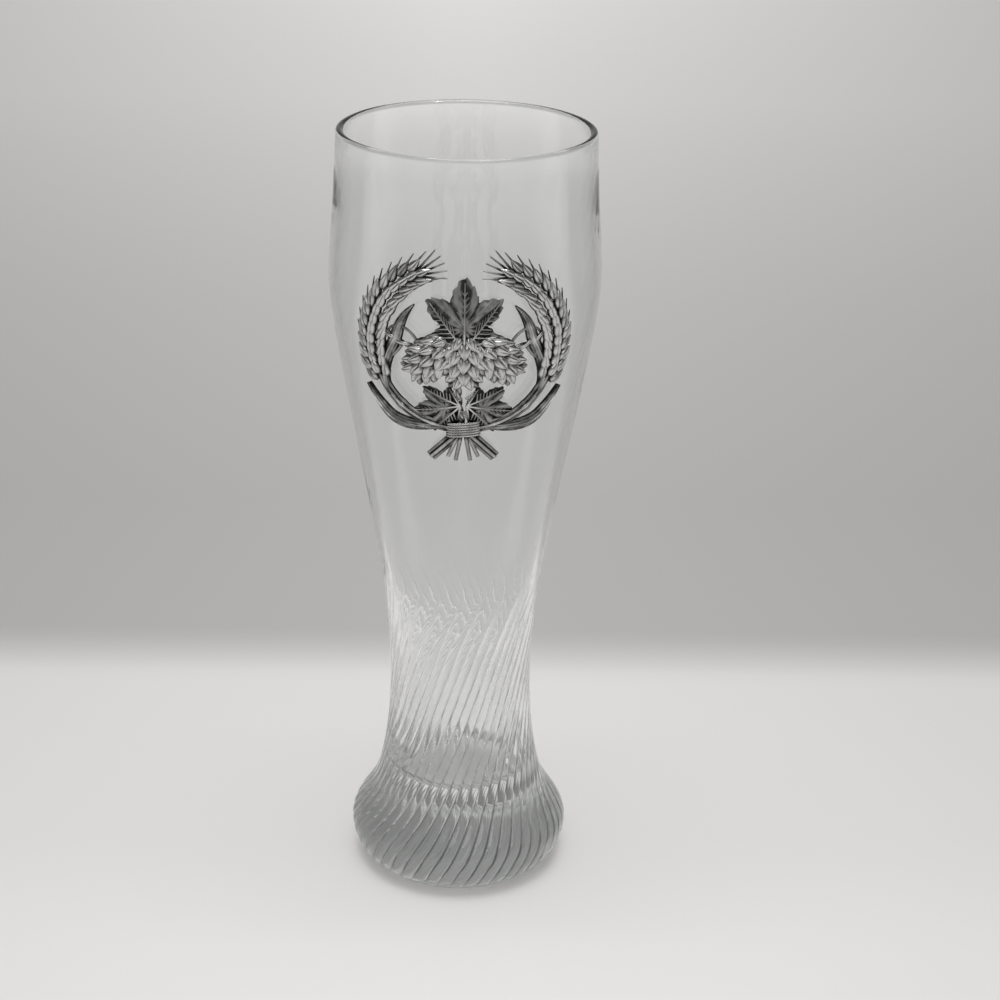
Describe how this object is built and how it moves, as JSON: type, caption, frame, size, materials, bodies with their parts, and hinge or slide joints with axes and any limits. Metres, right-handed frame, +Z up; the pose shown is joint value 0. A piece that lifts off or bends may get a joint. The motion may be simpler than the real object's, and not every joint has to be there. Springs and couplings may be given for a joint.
{
  "type": "wheat beer glass",
  "caption": "Tall clear swirl-ribbed beer glass with a solid bulb foot, narrow waist and flared bowl, and a cast pewter wreath badge glued to its front.",
  "frame": {"origin": "middle of the flat underside of the foot", "axes": "+Z up the glass's axis towards its lip, -Y towards the front, where the badge is"},
  "size_m": [0.0826, 0.0869, 0.245],
  "materials": {
    "glass": "polished",
    "pewter": "satin",
    "glue": "gloss"
  },
  "bodies": {
    "root": {"glass_vessel": "glass", "pewter_badge": "pewter", "adhesive_pad_middle": "glue", "adhesive_pad_left": "glue", "adhesive_pad_right": "glue"}
  },
  "joints": []
}
